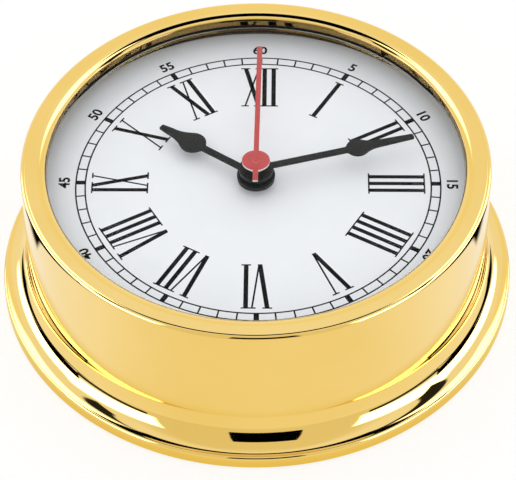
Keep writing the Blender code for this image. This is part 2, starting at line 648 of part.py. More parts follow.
def going_train():
    """Rotor to centre wheel: each wheel is one moulding with its pinion and its pivots."""
    third_pinion_phase = meshed_phase(0.0, CENTER_WHEEL, THIRD_PINION, THIRD_DIRECTION)
    second_pinion_phase = meshed_phase(0.0, THIRD_WHEEL, SECOND_PINION, THIRD_DIRECTION + math.pi)
    intermediate_pinion_phase = meshed_phase(0.0, SECOND_WHEEL, INTERMEDIATE_PINION, INTERMEDIATE_DIRECTION)
    rotor_phase = meshed_phase(0.0, INTERMEDIATE_WHEEL, ROTOR_PINION, ROTOR_DIRECTION)
    shaft = circle(ROTOR_SHAFT, points=SHAFT_POINTS)
    stacked(
        "rotor_pinion",
        [
            (PIVOT_BACK, ROTOR_PINION_BOTTOM, [shaft]),
            (ROTOR_PINION_BOTTOM, ROTOR_PINION_TOP, [gear_loop(ROTOR_PINION, ROTOR_MODULE, rotor_phase)]),
            (ROTOR_PINION_TOP, PIVOT_FRONT, [shaft]),
        ],
        white_plastic("rotor_white"),
        location=(*ROTOR_AXIS, 0.0),
    )
    magnet_loops = [circle(MAGNET_RADIUS), circle(MAGNET_BORE, points=SHAFT_POINTS)]
    magnet = finish("magnet_grey", (0.12, 0.12, 0.13), 0.4, 0.5)
    stacked("rotor_magnet", [(MAGNET_BOTTOM, MAGNET_TOP, magnet_loops)], magnet, location=(*ROTOR_AXIS, 0.0))
    wheel_and_pinion(
        "intermediate_wheel",
        (PIVOT_BACK, INTERMEDIATE_LEVEL, INTERMEDIATE_PINION_TOP, PIVOT_FRONT),
        gear_loop(INTERMEDIATE_WHEEL, ROTOR_MODULE, 0.0),
        gear_loop(INTERMEDIATE_PINION, SECOND_MODULE, intermediate_pinion_phase),
        INTERMEDIATE_AXIS,
    )
    wheel_and_pinion(
        "second_wheel",
        (PIVOT_BACK, SECOND_LEVEL, SECOND_PINION_TOP, SECOND_ARBOR_TOP),
        gear_loop(SECOND_WHEEL, SECOND_MODULE, 0.0),
        gear_loop(SECOND_PINION, THIRD_MODULE, second_pinion_phase),
        CENTER,
    )
    wheel_and_pinion(
        "third_wheel",
        (PIVOT_BACK, THIRD_LEVEL, THIRD_PINION_TOP, PIVOT_FRONT),
        gear_loop(THIRD_WHEEL, THIRD_MODULE, 0.0),
        gear_loop(THIRD_PINION, CENTER_MODULE, third_pinion_phase),
        THIRD_AXIS,
    )
    bore = circle(CANNON_BORE, points=SHAFT_POINTS)
    tube = circle(CANNON_RADIUS)
    wheel_top = CENTER_LEVEL + WHEEL_THICKNESS
    stacked(
        "center_wheel",
        [
            (CENTER_LEVEL, wheel_top, [gear_loop(CENTER_WHEEL, CENTER_MODULE, 0.0), bore]),
            (wheel_top, CANNON_PINION_BOTTOM, [tube, bore]),
            (CANNON_PINION_BOTTOM, CANNON_PINION_TOP, [gear_loop(CANNON_PINION, MOTION_MODULE, 0.0), bore]),
            (CANNON_PINION_TOP, CANNON_TOP, [tube, bore]),
        ],
        white_plastic("center_white"),
    )


def motion_work():
    """Minute-work wheel and hour wheel, and the setting gear with its knob."""
    work_phase = meshed_phase(0.0, CANNON_PINION, MINUTE_WORK_WHEEL, MINUTE_WORK_DIRECTION)
    hour_phase = meshed_phase(0.0, MINUTE_WORK_PINION, HOUR_WHEEL, MINUTE_WORK_DIRECTION + math.pi)
    setting_phase = meshed_phase(work_phase, MINUTE_WORK_WHEEL, SETTING_GEAR, SETTING_DIRECTION)
    wheel_and_pinion(
        "minute_work_wheel",
        (MINUTE_WORK_BACK, MINUTE_WORK_LEVEL, MINUTE_WORK_PINION_TOP, MINUTE_WORK_FRONT),
        gear_loop(MINUTE_WORK_WHEEL, MOTION_MODULE, work_phase),
        gear_loop(MINUTE_WORK_PINION, MOTION_MODULE, 0.0),
        MINUTE_WORK_AXIS,
    )
    bore = circle(HOUR_TUBE_BORE)
    wheel_top = HOUR_LEVEL + WHEEL_THICKNESS
    stacked(
        "hour_wheel",
        [
            (HOUR_LEVEL, wheel_top, [gear_loop(HOUR_WHEEL, MOTION_MODULE, hour_phase), bore]),
            (wheel_top, HOUR_TUBE_TOP, [circle(HOUR_TUBE_RADIUS), bore]),
        ],
        white_plastic("hour_white"),
    )
    shaft = circle(SETTING_SHAFT, points=SHAFT_POINTS)
    stacked(
        "setting_gear",
        [
            (SETTING_SHAFT_END, SETTING_GEAR_BOTTOM, [shaft]),
            (SETTING_GEAR_BOTTOM, SETTING_GEAR_TOP, [gear_loop(SETTING_GEAR, MOTION_MODULE, setting_phase)]),
        ],
        white_plastic("setting_white"),
        location=(*SETTING_AXIS, 0.0),
    )
    ribs = []
    turn = 2 * math.pi / KNOB_RIBS
    for k in range(KNOB_RIBS):
        ribs.append(on_circle(KNOB_RADIUS, (k - KNOB_RIB_SHARE) * turn))
        ribs.append(on_circle(KNOB_RADIUS, (k + KNOB_RIB_SHARE) * turn))
        ribs.append(on_circle(KNOB_RADIUS - KNOB_RIB_DEPTH, (k + 1 / 2) * turn))
    knob_loop = tuple(ribs)
    socket = circle(SETTING_SHAFT + GAP, points=SHAFT_POINTS)
    stacked(
        "setting_knob",
        [(KNOB_BOTTOM, KNOB_FLOOR, [knob_loop]), (KNOB_FLOOR, KNOB_TOP, [knob_loop, socket])],
        white_plastic("knob_white"),
        location=(*SETTING_AXIS, 0.0),
    )


def pear_hand(length, pear_at, pear_half, eye):
    """Outline of a hand that points to +Y: round eye, slim stem, pear swelling, tapered tip."""
    stem_angle = math.acos(HAND_STEM_HALF / eye)
    right = [(HAND_STEM_HALF, pear_at - PEAR_TAIL * pear_half)]
    right += arc((0.0, pear_at), pear_half, PEAR_ARC_START, PEAR_ARC_END, COVE_STEPS)
    right += [(HAND_NECK_HALF, pear_at + PEAR_NECK * pear_half)]
    right += [(HAND_TIP_HALF, length - HAND_TIP_HALF), (HAND_POINT_HALF, length)]
    left = [(-x, y) for x, y in reversed(right)]
    eye_arc = arc(CENTER, eye, math.pi - stem_angle, 2 * math.pi + stem_angle, TUBE_POINTS)
    return tuple(right + left + eye_arc)


def hand_and_bush(name, outline, angle, blade_bottom, bore, bush_radius):
    """A flat blade turned clockwise from twelve, and the bush under it that grips the tube."""
    blade_top = blade_bottom + HAND_SHEET
    blade = stacked(name, [(blade_bottom, blade_top, [outline, bore])], black_lacquer(f"{name}_black"))
    blade.rotation_euler.z = -angle
    bush_top = blade_bottom - GAP
    bush_layers = [(bush_top - HAND_BUSH_HEIGHT, bush_top, [circle(bush_radius), bore])]
    stacked(f"{name}_bush", bush_layers, black_lacquer(f"{name}_bush_black"))


def hands():
    hour_outline = pear_hand(HOUR_LENGTH, HOUR_PEAR_AT, HOUR_PEAR_HALF, HOUR_EYE)
    hour_bore = circle(HOUR_TUBE_RADIUS + GAP)
    hand_and_bush("hour_hand", hour_outline, HOUR_ANGLE, HOUR_BLADE_BOTTOM, hour_bore, HOUR_BUSH_RADIUS)
    minute_outline = pear_hand(MINUTE_LENGTH, MINUTE_PEAR_AT, MINUTE_PEAR_HALF, MINUTE_EYE)
    minute_bore = circle(CANNON_RADIUS + GAP)
    hand_and_bush(
        "minute_hand", minute_outline, MINUTE_ANGLE, MINUTE_BLADE_BOTTOM, minute_bore, MINUTE_BUSH_RADIUS
    )
    stem_angle = math.acos(SECOND_HALF_WIDTH / SECOND_DISC)
    second_loop = [(SECOND_HALF_WIDTH, SECOND_LENGTH), (-SECOND_HALF_WIDTH, SECOND_LENGTH)]
    second_loop += arc(CENTER, SECOND_DISC, math.pi - stem_angle, math.pi + stem_angle, SHAFT_POINTS)
    second_loop += [(-SECOND_HALF_WIDTH, -SECOND_TAIL), (SECOND_HALF_WIDTH, -SECOND_TAIL)]
    second_loop += arc(CENTER, SECOND_DISC, -stem_angle, stem_angle, SHAFT_POINTS)
    second_top = SECOND_BLADE_BOTTOM + SECOND_SHEET
    second_hand = stacked(
        "second_hand",
        [
            (SECOND_BLADE_BOTTOM, second_top, [tuple(second_loop)]),
            (second_top, second_top + SECOND_SHEET / 2, [circle(SECOND_PIP, points=SHAFT_POINTS)]),
        ],
        finish("second_hand_red", (0.60, 0.06, 0.065), 0.35),
    )
    second_hand.rotation_euler.z = -SECOND_ANGLE
    pipe_loops = [circle(SECOND_PIPE_RADIUS), circle(PIVOT + GAP, points=SHAFT_POINTS)]
    pipe_top = SECOND_BLADE_BOTTOM - GAP
    stacked("second_hand_pipe", [(SECOND_PIPE_BOTTOM, pipe_top, pipe_loops)], brass("pipe_brass"))


def main():
    clear_scene()
    case_shell()
    glass()
    dial_stack()
    mount_plate()
    for number, angle in enumerate(clip_angles(), start=1):
        spring_clip(number, angle)
    dial_washer()
    movement_housing()
    motor_and_board()
    battery()
    going_train()
    motion_work()
    hands()


main()
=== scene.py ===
import math

import bmesh
import bpy
from mathutils import Matrix, Vector


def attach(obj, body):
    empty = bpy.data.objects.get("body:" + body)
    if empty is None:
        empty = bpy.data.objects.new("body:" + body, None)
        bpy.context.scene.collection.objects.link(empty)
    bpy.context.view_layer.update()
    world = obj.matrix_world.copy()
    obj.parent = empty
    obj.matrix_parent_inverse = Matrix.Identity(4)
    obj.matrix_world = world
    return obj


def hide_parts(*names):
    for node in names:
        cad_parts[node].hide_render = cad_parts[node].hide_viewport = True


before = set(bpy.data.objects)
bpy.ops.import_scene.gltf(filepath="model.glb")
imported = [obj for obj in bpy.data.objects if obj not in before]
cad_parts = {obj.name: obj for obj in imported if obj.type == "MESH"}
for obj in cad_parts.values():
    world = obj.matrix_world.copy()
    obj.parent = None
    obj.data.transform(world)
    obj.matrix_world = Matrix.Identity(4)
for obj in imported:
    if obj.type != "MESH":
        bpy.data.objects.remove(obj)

scene = bpy.context.scene
scene.view_settings.view_transform = "Standard"
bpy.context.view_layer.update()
mm = 0.001  # sizes below are in millimetres
joinGap = 1e-4  # points closer than this are merged


# Mesh helpers, all in millimetres until makePiece scales them

def arcPoints(centre, radius, start, end, steps):  # radius is one number, or two for an ellipse
    wide, tall = radius if isinstance(radius, tuple) else (radius, radius)
    turns = [math.radians(start + (end - start) * k / steps) for k in range(steps + 1)]
    return [(centre[0] + wide * math.cos(t), centre[1] + tall * math.sin(t)) for t in turns]


def circleLoop(radius, count=40, at=(0, 0)):
    return arcPoints(at, radius, 0, 360, count)[:-1]


def spinProfile(points, steps, closed=True):
    bm = bmesh.new()
    verts = [bm.verts.new((r, 0, z)) for r, z in points]
    edges = [bm.edges.new(pair) for pair in zip(verts, verts[1:])]
    if closed:
        edges.append(bm.edges.new((verts[-1], verts[0])))
    bmesh.ops.spin(bm, geom=verts + edges, cent=(0, 0, 0), axis=(0, 0, 1),
                   angle=2 * math.pi, steps=steps, use_merge=True)
    return bm


def spinTube(inner, outer, bottom, top, steps):
    return spinProfile([(inner, bottom), (outer, bottom), (outer, top), (inner, top)], steps)


def sheetFrom(loops, bottom, top):  # a flat sheet, later loops are holes in the first
    bm = bmesh.new()
    for loop in loops:
        verts = [bm.verts.new((x, y, bottom)) for x, y in loop]
        for k in range(len(verts)):
            bm.edges.new((verts[k - 1], verts[k]))
    filled = bmesh.ops.triangle_fill(bm, edges=bm.edges[:], use_beauty=True)["geom"]
    faces = [g for g in filled if isinstance(g, bmesh.types.BMFace)]
    raised = bmesh.ops.extrude_face_region(bm, geom=faces, use_keep_orig=True)["geom"]
    upper = [g for g in raised if isinstance(g, bmesh.types.BMVert)]
    bmesh.ops.translate(bm, vec=(0, 0, top - bottom), verts=upper)
    bmesh.ops.recalc_face_normals(bm, faces=bm.faces)
    return bm


def roundRims(bm, width, segments=3, least=50):  # every edge sharper than least, in degrees
    rims = [e for e in bm.edges if e.is_manifold and e.calc_face_angle(0) > math.radians(least)]
    bmesh.ops.bevel(bm, geom=rims, offset=width, offset_type="OFFSET", affect="EDGES", segments=segments,
                    profile=0.5, material=-1, clamp_overlap=True)


def addBar(bm, foot, head, width, bottom, top):  # stroke with ends cut level, from foot to head
    along = Vector(head) - Vector(foot)
    middle = (Vector(head) + Vector(foot)) / 2
    shape = Matrix(((width, along.x, 0, middle.x), (0, along.y, 0, middle.y),
                    (0, 0, top - bottom, (top + bottom) / 2), (0, 0, 0, 1)))
    return bmesh.ops.create_cube(bm, size=1, matrix=shape)["verts"]


def joinInto(bm, shape):  # adds a finished shape to bm
    mesh = bpy.data.meshes.new("joined")
    shape.to_mesh(mesh)
    shape.free()
    bm.from_mesh(mesh)
    bpy.data.meshes.remove(mesh)


def turnClockwise(bm, verts, degrees):  # about the hands' axis
    turn = Matrix.Rotation(-math.radians(degrees), 3, "Z")
    bmesh.ops.rotate(bm, verts=verts, cent=(0, 0, 0), matrix=turn)


def makePiece(name, bm, material, body, stands=(), sharp=40):
    bmesh.ops.remove_doubles(bm, verts=bm.verts, dist=joinGap)
    bmesh.ops.recalc_face_normals(bm, faces=bm.faces)
    bmesh.ops.scale(bm, vec=(mm, mm, mm), verts=bm.verts)
    mesh = bpy.data.meshes.new(name)
    bm.to_mesh(mesh)
    bm.free()
    mesh.shade_smooth()
    mesh.set_sharp_from_angle(angle=math.radians(sharp))
    mesh.materials.append(material)
    piece = bpy.data.objects.new(name, mesh)
    scene.collection.objects.link(piece)
    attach(piece, body)
    if stands:
        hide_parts(*stands)
    return piece


# Node helpers

def mathNode(tree, operation, *values):
    node = tree.nodes.new("ShaderNodeMath")
    node.operation = operation
    for socket, value in zip(node.inputs, values):
        if isinstance(value, (int, float)):
            socket.default_value = value
        else:
            tree.links.new(value, socket)
    return node.outputs[0]


def blendTint(tree, mask, before, after):
    node = tree.nodes.new("ShaderNodeMix")
    node.data_type = "RGBA"
    for socket, value in zip((node.inputs[0], node.inputs[6], node.inputs[7]), (mask, before, after)):
        if isinstance(value, tuple):
            socket.default_value = (*value, 1)
        else:
            tree.links.new(value, socket)
    return node.outputs[2]


def rampNode(tree, value, start, end, shape="SMOOTHSTEP"):  # 0 at start, 1 at end
    ramp = tree.nodes.new("ShaderNodeMapRange")
    ramp.interpolation_type = shape
    tree.links.new(value, ramp.inputs["Value"])
    ramp.inputs["From Min"].default_value = start
    ramp.inputs["From Max"].default_value = end
    return ramp.outputs["Result"]


def splitCoord(tree, kind):  # x, y and z of a texture coordinate
    coord = tree.nodes.new("ShaderNodeTexCoord")
    split = tree.nodes.new("ShaderNodeSeparateXYZ")
    tree.links.new(coord.outputs[kind], split.inputs[0])
    return split.outputs


def distanceAcross(tree, x, y):
    squares = mathNode(tree, "ADD", mathNode(tree, "MULTIPLY", x, x), mathNode(tree, "MULTIPLY", y, y))
    return mathNode(tree, "SQRT", squares)


def mixShaders(tree, share, first, second, output):
    mix = tree.nodes.new("ShaderNodeMixShader")
    tree.links.new(share, mix.inputs["Fac"])
    tree.links.new(first, mix.inputs[1])
    tree.links.new(second, mix.inputs[2])
    tree.links.new(mix.outputs[0], output.inputs["Surface"])


# Material helpers

def newFinish(name, colour, roughness, metallic=0.0):
    material = bpy.data.materials.new(name)
    material.use_nodes = True
    shader = material.node_tree.nodes["Principled BSDF"]
    shader.inputs["Base Color"].default_value = (*colour, 1)
    shader.inputs["Roughness"].default_value = roughness
    shader.inputs["Metallic"].default_value = metallic
    return material, shader


def objectNoise(material, scale, detail=4, stretch=(1, 1, 1)):
    nodes, links = material.node_tree.nodes, material.node_tree.links
    coord = nodes.new("ShaderNodeTexCoord")
    mapping = nodes.new("ShaderNodeMapping")
    mapping.inputs["Scale"].default_value = stretch
    noise = nodes.new("ShaderNodeTexNoise")
    noise.inputs["Scale"].default_value = scale
    noise.inputs["Detail"].default_value = detail
    links.new(coord.outputs["Object"], mapping.inputs["Vector"])
    links.new(mapping.outputs["Vector"], noise.inputs["Vector"])
    return noise.outputs["Fac"]


def tintBy(material, shader, value, low, high, ends=(0.3, 0.7)):  # colour drifts between two tones
    nodes, links = material.node_tree.nodes, material.node_tree.links
    ramp = nodes.new("ShaderNodeValToRGB")
    for stop, position, colour in zip(ramp.color_ramp.elements, ends, (low, high)):
        stop.position = position
        stop.color = (*colour, 1)
    links.new(value, ramp.inputs["Fac"])
    links.new(ramp.outputs["Color"], shader.inputs["Base Color"])


def roughBy(material, shader, value, low, high):
    nodes, links = material.node_tree.nodes, material.node_tree.links
    spread = nodes.new("ShaderNodeMapRange")
    spread.inputs["To Min"].default_value = low
    spread.inputs["To Max"].default_value = high
    links.new(value, spread.inputs["Value"])
    links.new(spread.outputs["Result"], shader.inputs["Roughness"])


def bumpBy(material, shader, value, depth):  # depth in millimetres
    nodes, links = material.node_tree.nodes, material.node_tree.links
    bump = nodes.new("ShaderNodeBump")
    bump.inputs["Strength"].default_value = 1.0
    bump.inputs["Distance"].default_value = depth * mm
    links.new(value, bump.inputs["Height"])
    links.new(bump.outputs["Normal"], shader.inputs["Normal"])


def grainyFinish(name, low, high, rough, scale, metallic=0.0, depth=0.0, stretch=(1, 1, 1), gloss=0.5):
    material, shader = newFinish(name, low, rough[0], metallic)
    shader.inputs["Specular IOR Level"].default_value = gloss
    noise = objectNoise(material, scale, stretch=stretch)
    tintBy(material, shader, noise, low, high)
    roughBy(material, shader, noise, *rough)
    if depth:
        bumpBy(material, shader, noise, depth)
    return material


def coverColour(material, mask, colour):  # lays a second colour over the first where mask is 1
    tree = material.node_tree
    base = tree.nodes["Principled BSDF"].inputs["Base Color"]
    before = base.links[0].from_socket
    tree.links.new(blendTint(tree, mask, before, colour), base)


# Finishes of the clock

edgeLook = {"colour": (0.78, 0.78, 0.76), "turnover": (0.75, 0.45)}  # how level a face is, from paint to bare
# painted reflection and shade in the lip's bore: the radii where it ends, its dark colour and the streaks' strength
boreShadeLook = {"ends": (60.15, 60.4), "dark": (0.16, 0.10, 0.035), "fade": (-0.5, 1.15),
            "lines": 2600}  # per metre
glassLook = {"tint": (0.995, 1.0, 0.998), "rough": (0.0, 0.012), "grain": 40, "shadow": (0.99, 0.995, 0.995),
             "index": 1.1}  # low, as a bloomed glass that hardly mirrors
brassLook = {"low": (0.905, 0.655, 0.225), "high": (0.935, 0.69, 0.26), "rough": (0.025, 0.05), "scale": 35,
             "metallic": 1}


def paleEdge(material, s):  # cut edges, where the surface stands upright, show bare metal
    tree = material.node_tree
    flat = mathNode(tree, "ABSOLUTE", splitCoord(tree, "Normal")[2])
    coverColour(material, rampNode(tree, flat, *s["turnover"], "LINEAR"), s["colour"])


def turnedBore(material, s):  # the bore's colour is painted dark brown, a painted reflection and shade rather than the brass's own colour, up to a soft end between two radii
    tree = material.node_tree
    x, y, z = splitCoord(tree, "Object")
    inner, outer = s["ends"]
    inside = rampNode(tree, distanceAcross(tree, x, y), outer * mm, inner * mm, "LINEAR")
    shadeStreaks = tree.nodes.new("ShaderNodeTexNoise")  # streaks in the painted shade, one above the other, like fine turning lines
    shadeStreaks.noise_dimensions = "1D"
    shadeStreaks.inputs["Scale"].default_value = s["lines"]
    tree.links.new(z, shadeStreaks.inputs["W"])
    amount = mathNode(tree, "MULTIPLY_ADD", shadeStreaks.outputs["Fac"], *s["fade"])
    amount.node.use_clamp = True
    coverColour(material, mathNode(tree, "MULTIPLY", amount, inside), s["dark"])


def clearGlass(s):  # shadow and diffuse rays pass straight through, so the dial under it is lit
    material, shader = newFinish("clearGlass", s["tint"], s["rough"][0])
    shader.inputs["Transmission Weight"].default_value = 1
    shader.inputs["IOR"].default_value = s["index"]
    roughBy(material, shader, objectNoise(material, s["grain"]), *s["rough"])
    tree = material.node_tree
    path = tree.nodes.new("ShaderNodeLightPath")
    either = mathNode(tree, "MAXIMUM", path.outputs["Is Shadow Ray"], path.outputs["Is Diffuse Ray"])
    letThrough = tree.nodes.new("ShaderNodeBsdfTransparent")
    letThrough.inputs["Color"].default_value = (*s["shadow"], 1)
    mixShaders(tree, either, shader.outputs[0], letThrough.outputs[0], tree.nodes["Material Output"])
    return material


finishes = {  # two tones, the range of roughness, the grain's scale per metre, and its depth in millimetres
    "case_brass": grainyFinish("caseBrass", **brassLook),
    "polished_brass": grainyFinish("polishedBrass", **brassLook),
    "clear_glass": clearGlass(glassLook),
    "black_rubber": grainyFinish("blackRubber", (0.010, 0.010, 0.011), (0.020, 0.020, 0.021),
                                 (0.6, 0.85), 2500, depth=0.01),
    "black_plastic": grainyFinish("blackPlastic", (0.012, 0.012, 0.013), (0.018, 0.018, 0.020),
                                  (0.32, 0.45), 1800, depth=0.01),
    "dull_black": grainyFinish("spacerBlack", (0.010, 0.010, 0.010), (0.015, 0.015, 0.015),
                               (0.6, 0.75), 1800, depth=0.01, gloss=0.12),
    "white_dial": grainyFinish("dialLacquer", (0.90, 0.915, 0.955), (0.92, 0.935, 0.97),
                               (0.34, 0.46), 120, depth=0.002),
    "bright_steel": grainyFinish("springSteel", (0.50, 0.50, 0.51), (0.62, 0.62, 0.62),
                                 (0.2, 0.36), 400, metallic=1, depth=0.003, stretch=(1, 1, 0.1)),
    "black_hands": grainyFinish("handBlack", (0.009, 0.010, 0.012), (0.014, 0.015, 0.017),
                                (0.34, 0.5), 1500, depth=0.004, gloss=0.22),
    "red_hand": grainyFinish("handRed", (0.50, 0.048, 0.050), (0.56, 0.058, 0.060),
                             (0.3, 0.42), 900, depth=0.003),
    "white_plastic": grainyFinish("gearNylon", (0.74, 0.74, 0.71), (0.82, 0.82, 0.79),
                                  (0.38, 0.52), 700, depth=0.004),
    "motor_iron": grainyFinish("motorIron", (0.42, 0.42, 0.43), (0.56, 0.56, 0.56),
                               (0.3, 0.5), 900, metallic=1, depth=0.004),
    "coil_copper": grainyFinish("coilCopper", (0.50, 0.17, 0.06), (0.68, 0.27, 0.11),
                                (0.25, 0.45), 2200, metallic=1, depth=0.03, stretch=(6, 0.2, 0.2)),
    "magnet_grey": grainyFinish("magnetGrey", (0.10, 0.10, 0.11), (0.15, 0.15, 0.16),
                                (0.4, 0.6), 1600, metallic=0.6, depth=0.008),
    "board_green": grainyFinish("boardGreen", (0.014, 0.12, 0.045), (0.025, 0.19, 0.075),
                                (0.3, 0.5), 1100, depth=0.004),
    "chip_black": grainyFinish("chipEpoxy", (0.008, 0.008, 0.008), (0.016, 0.016, 0.017),
                               (0.15, 0.3), 600, depth=0.02),
    "battery_can": grainyFinish("batterySleeve", (0.26, 0.27, 0.29), (0.34, 0.35, 0.37),
                                (0.25, 0.4), 300, metallic=0.6, depth=0.002),
}
paleEdge(finishes["red_hand"], edgeLook)
# the lip's bore gets a painted dark reflection and shade
turnedBore(finishes["case_brass"], boreShadeLook)
print("finishes", len(finishes))

nodeSlots = {
    "polished_brass": ["case_shell", "mount_plate", "second_hand_pipe"],
    "clear_glass": ["glass"],
    "black_rubber": ["glass_gasket", "dial_washer", "base_seal"],
    "black_plastic": ["spacer_ring", "movement_front", "movement_rear", "setting_knob"],
    "white_dial": ["dial"],
    "bright_steel": ["snap_ring", "spring_clip_1", "spring_clip_2", "spring_clip_3",
                     "clip_screw_1", "clip_screw_2", "clip_screw_3",
                     "battery_contact_plus", "battery_contact_minus", "quartz_crystal"],
    "black_hands": ["hour_hand", "hour_hand_bush", "minute_hand", "minute_hand_bush"],
    "red_hand": ["second_hand"],
    "white_plastic": ["gear_plate", "second_wheel", "third_wheel", "center_wheel", "intermediate_wheel",
                      "minute_work_wheel", "hour_wheel", "setting_gear", "rotor_pinion"],
    "motor_iron": ["stator", "coil_core"],
    "coil_copper": ["coil"],
    "magnet_grey": ["rotor_magnet"],
    "board_green": ["circuit_board"],
    "chip_black": ["clock_chip"],
    "battery_can": ["battery"],
}
for slotName, names in nodeSlots.items():
    for name in names:
        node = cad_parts[name]
        node.data.materials.clear()
        node.data.materials.append(finishes[slotName])
unfinished = set(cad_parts) - {n for names in nodeSlots.values() for n in names}
print("nodes without a finish", sorted(unfinished))


# Brass case: one turned shell with a flat bezel, a straight drum and a coved foot

caseShape = {
    "opening": 59.9, "lipFoot": 59.7, "lipRound": (3.3, 1.5), "lipThickness": 2.7,
    "bezelTop": 46.7, "bezelRound": 1.4, "drumRadius": 67.3, "wall": 1.5,
    "cove": (8.143, 9.1),  # a quarter of an ellipse, a little taller than wide
    "coveEnd": 80, "coveInnerEnd": 72,  # degrees
    "rimRadius": 75.0, "rimRound": 1.0, "rimTop": 3.4, "rimBottom": 0.3, "rimInner": 73.2, "footRound": 0.3,
    "grooveRadius": 66.6, "groove": (34.1, 35.8),
    "keep": 0.15,  # loops beside the rounds keep the flats flat
    "steps": 256, "lipSteps": 24, "bezelSteps": 14, "coveSteps": 56, "coveInnerSteps": 24, "rimSteps": 12,
    "footSteps": 4, "sharp": 30,
}


def buildCase(s):
    end = math.radians(s["coveEnd"])
    wide, tall = s["cove"]
    last = math.atan(tall / wide * math.tan(end))
    coveTop = s["rimTop"] + s["rimRound"] * math.sin(end) + tall * math.sin(last)
    centre = (s["drumRadius"] + wide, coveTop)
    bore = s["drumRadius"] - s["wall"]
    top, lipBottom = s["bezelTop"], s["bezelTop"] - s["lipThickness"]
    flatEnd = s["drumRadius"] - s["bezelRound"]
    lipEnd = s["opening"] + s["lipRound"][0]
    keep, foot = s["keep"], s["footRound"]
    points = arcPoints((lipEnd, top - s["lipRound"][1]), s["lipRound"], 180, 90, s["lipSteps"])
    points += [(lipEnd + keep, top), (flatEnd - keep, top)]
    points += arcPoints((flatEnd, top - s["bezelRound"]), s["bezelRound"], 90, 0, s["bezelSteps"])
    points += [(s["drumRadius"], top - s["bezelRound"] - keep), (s["drumRadius"], coveTop + keep)]
    points += arcPoints(centre, s["cove"], 180, 180 + math.degrees(last), s["coveSteps"])
    points += arcPoints((s["rimRadius"] - s["rimRound"], s["rimTop"]), s["rimRound"],
                        s["coveEnd"], 0, s["rimSteps"])[1:]
    points += [(s["rimRadius"], s["rimTop"] - keep), (s["rimRadius"], s["rimBottom"] + foot)]
    points += arcPoints((s["rimRadius"] - foot, s["rimBottom"] + foot), foot, 0, -90, s["footSteps"])[1:]
    points += [(s["rimInner"], s["rimBottom"])]
    inside = (wide + s["wall"], tall + s["wall"])
    points += arcPoints(centre, inside, 180 + s["coveInnerEnd"], 180, s["coveInnerSteps"])
    low, high = s["groove"]
    points += [(bore, low), (s["grooveRadius"], low), (s["grooveRadius"], high), (bore, high)]
    points += [(bore, lipBottom), (s["lipFoot"], lipBottom)]
    return makePiece("brass_case", spinProfile(points, s["steps"]), finishes["case_brass"], "case",
                     ["case_shell"], sharp=s["sharp"])


buildCase(caseShape)
print("case done")


# Glass, its gasket and the black ring down to the dial

glassShape = {"rimTop": 43.7, "thickness": 1.2, "crown": 4.9, "domeRadius": 59.0, "power": 8, "radius": 65.3,
              "rings": 40, "steps": 160, "sharp": 25}
gasketShape = {"inner": 62.5, "outer": 65.3, "bottom": 41.5, "top": 42.2, "round": 0.2, "steps": 192}
spacerShape = {"inner": 63.4, "outer": 65.3, "bottom": 36.9, "top": 41.2, "round": 0.25, "steps": 192}


def buildGlass(s):  # nearly level across the hands, falling away at the rim
    shares = [k / s["rings"] for k in range(s["rings"] + 1)]
    top = [(share * s["domeRadius"], s["rimTop"] + s["crown"] * (1 - share ** s["power"])) for share in shares]
    top.append((s["radius"], s["rimTop"]))
    bottom = [(r, z - s["thickness"]) for r, z in reversed(top)]
    return makePiece("domed_glass", spinProfile(top + bottom, s["steps"], closed=False), finishes["clear_glass"],
                     "case", ["glass"], sharp=s["sharp"])


def buildRing(name, s, finishName, node, body="case"):
    bm = spinTube(s["inner"], s["outer"], s["bottom"], s["top"], s["steps"])
    roundRims(bm, s["round"])
    return makePiece(name, bm, finishes[finishName], body, [node])


buildGlass(glassShape)
buildRing("gasket_ring", gasketShape, "dull_black", "glass_gasket")
buildRing("black_spacer", spacerShape, "dull_black", "spacer_ring")
print("glass and rings done")


# Printing on the dial, laid on as a thin film of ink

dialPrint = {
    "low": 36.59, "high": 36.63, "sharp": 30,
    "centre": (0.6, 0.28), "turn": 1.0,  # the print sits a little off the hands' axis, and turned
    "trackInner": 49.8, "trackOuter": 52.51, "line": 0.44, "tick": 0.46, "block": 1.5, "tickDip": 0.005,
    "trackSteps": 180, "minuteTurn": 6, "hourTurn": 30, "numbered": 5,  # every fifth minute
    "numberRadius": 55.7, "numberSize": 3.15, "letterScale": 1.38, "bold": 0.12, "curveSteps": 4,
    "romanFoot": 31.63, "romanHead": 48.04, "thick": 1.3, "thin": 0.5, "pitch": 2.7, "vHalf": 2.15, "xHalf": 2.0,
    "besideSerif": 0.35, "apart": 0.9, "vFoot": 0.25,  # gaps between letters, and between the feet of a V
    "serif": 0.44, "serifReach": 1.35, "thinSerif": 0.8, "serifDip": 0.004,
}
inkBlack = grainyFinish("dialInk", (0.004, 0.004, 0.005), (0.008, 0.008, 0.009), (0.5, 0.62), 1500, gloss=0.1)


def printPiece(name, bm, s):
    bmesh.ops.translate(bm, vec=(*s["centre"], 0), verts=bm.verts)
    return makePiece(name, bm, inkBlack, "case", sharp=s["sharp"])


def buildTrack(s):
    bm = bmesh.new()
    for radius in (s["trackInner"], s["trackOuter"]):
        inner, outer = radius - s["line"] / 2, radius + s["line"] / 2
        joinInto(bm, spinTube(inner, outer, s["low"], s["high"], s["trackSteps"]))
    for minute in range(60):
        width = s["tick"] if minute % s["numbered"] else s["block"]
        verts = addBar(bm, (0, s["trackInner"]), (0, s["trackOuter"]), width, s["low"], s["high"] - s["tickDip"])
        turnClockwise(bm, verts, minute * s["minuteTurn"] + s["turn"])
    return printPiece("minute_track", bm, s)


